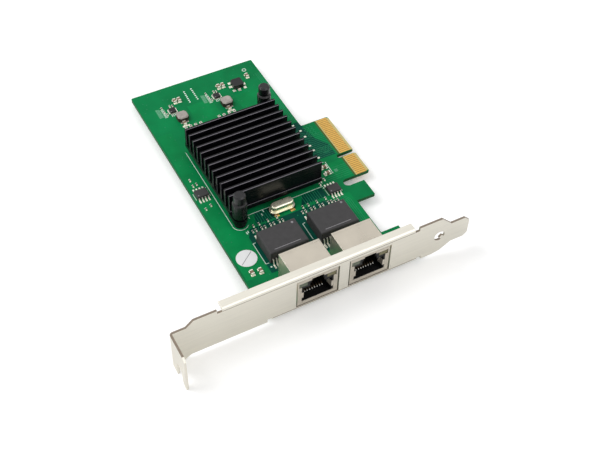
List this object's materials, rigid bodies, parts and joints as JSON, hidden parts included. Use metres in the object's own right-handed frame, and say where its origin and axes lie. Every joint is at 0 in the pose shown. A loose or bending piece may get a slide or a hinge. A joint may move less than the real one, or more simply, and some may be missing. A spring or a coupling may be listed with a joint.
{
  "type": "network interface card",
  "caption": "Dual-port network interface card: green board with finned black heat sink, shielded jacks, folded steel bracket and gold edge connector.",
  "frame": {"origin": "middle of the key notch on the tongue's leading edge, halfway through the board", "axes": "+X out of the edge connector into the host's slot, +Y inward from the bracket along the board, +Z towards the board's component side"},
  "size_m": [0.12, 0.1382, 0.0209],
  "materials": {
    "board_green": "satin green solder mask",
    "gold_plating": "satin gold plating",
    "contact_gold": "bright gold plating on spring wire",
    "bracket_steel": "satin nickel-plated sheet steel",
    "jack_shield": "smooth tin-plated sheet",
    "screw_steel": "plated steel",
    "black_aluminium": "black anodised, smooth",
    "black_plastic": "fine moulded",
    "pin_plastic": "smooth moulded",
    "package_resin": "matt moulded resin",
    "tinned_leads": "bright tin",
    "spring_steel": "drawn spring wire",
    "thermal_rubber": "soft matt pad",
    "crystal_metal": "drawn nickel-plated can",
    "inductor_ferrite": "smooth grey ferrite",
    "capacitor_ceramic": "smooth tan ceramic",
    "resistor_black": "smooth dark",
    "green_lens": "translucent",
    "amber_lens": "translucent",
    "white_paper": "matt adhesive paper"
  },
  "bodies": {
    "root": {"printed_board": "board_green", "edge_contacts_upper": "gold_plating", "edge_contacts_lower": "gold_plating", "bracket": "bracket_steel", "bracket_screws": "screw_steel", "heat_sink": "black_aluminium", "controller_chip": "package_resin", "thermal_pad": "thermal_rubber", "push_pins": "pin_plastic", "push_pin_springs": "spring_steel", "crystal_can": "crystal_metal", "crystal_base": "black_plastic", "power_inductors": "inductor_ferrite", "converter_chips": "package_resin", "regulator_body": "package_resin", "regulator_pads": "tinned_leads", "round_sticker": "white_paper", "link_lights_green": "green_lens", "link_lights_amber": "amber_lens", "memory_chip_body": "package_resin", "memory_chip_leads": "tinned_leads", "supervisor_chip_body": "package_resin", "supervisor_chip_leads": "tinned_leads", "capacitor_bodies": "capacitor_ceramic", "capacitor_end_caps": "tinned_leads", "small_part_bodies": "resistor_black", "small_part_end_caps": "tinned_leads", "jack_shell_1": "jack_shield", "jack_housing_1": "black_plastic", "contact_insert_1": "black_plastic", "contact_wires_1": "contact_gold", "magnetics_body_1": "package_resin", "magnetics_leads_1": "tinned_leads", "jack_shell_2": "jack_shield", "jack_housing_2": "black_plastic", "contact_insert_2": "black_plastic", "contact_wires_2": "contact_gold", "magnetics_body_2": "package_resin", "magnetics_leads_2": "tinned_leads"}
  },
  "joints": []
}
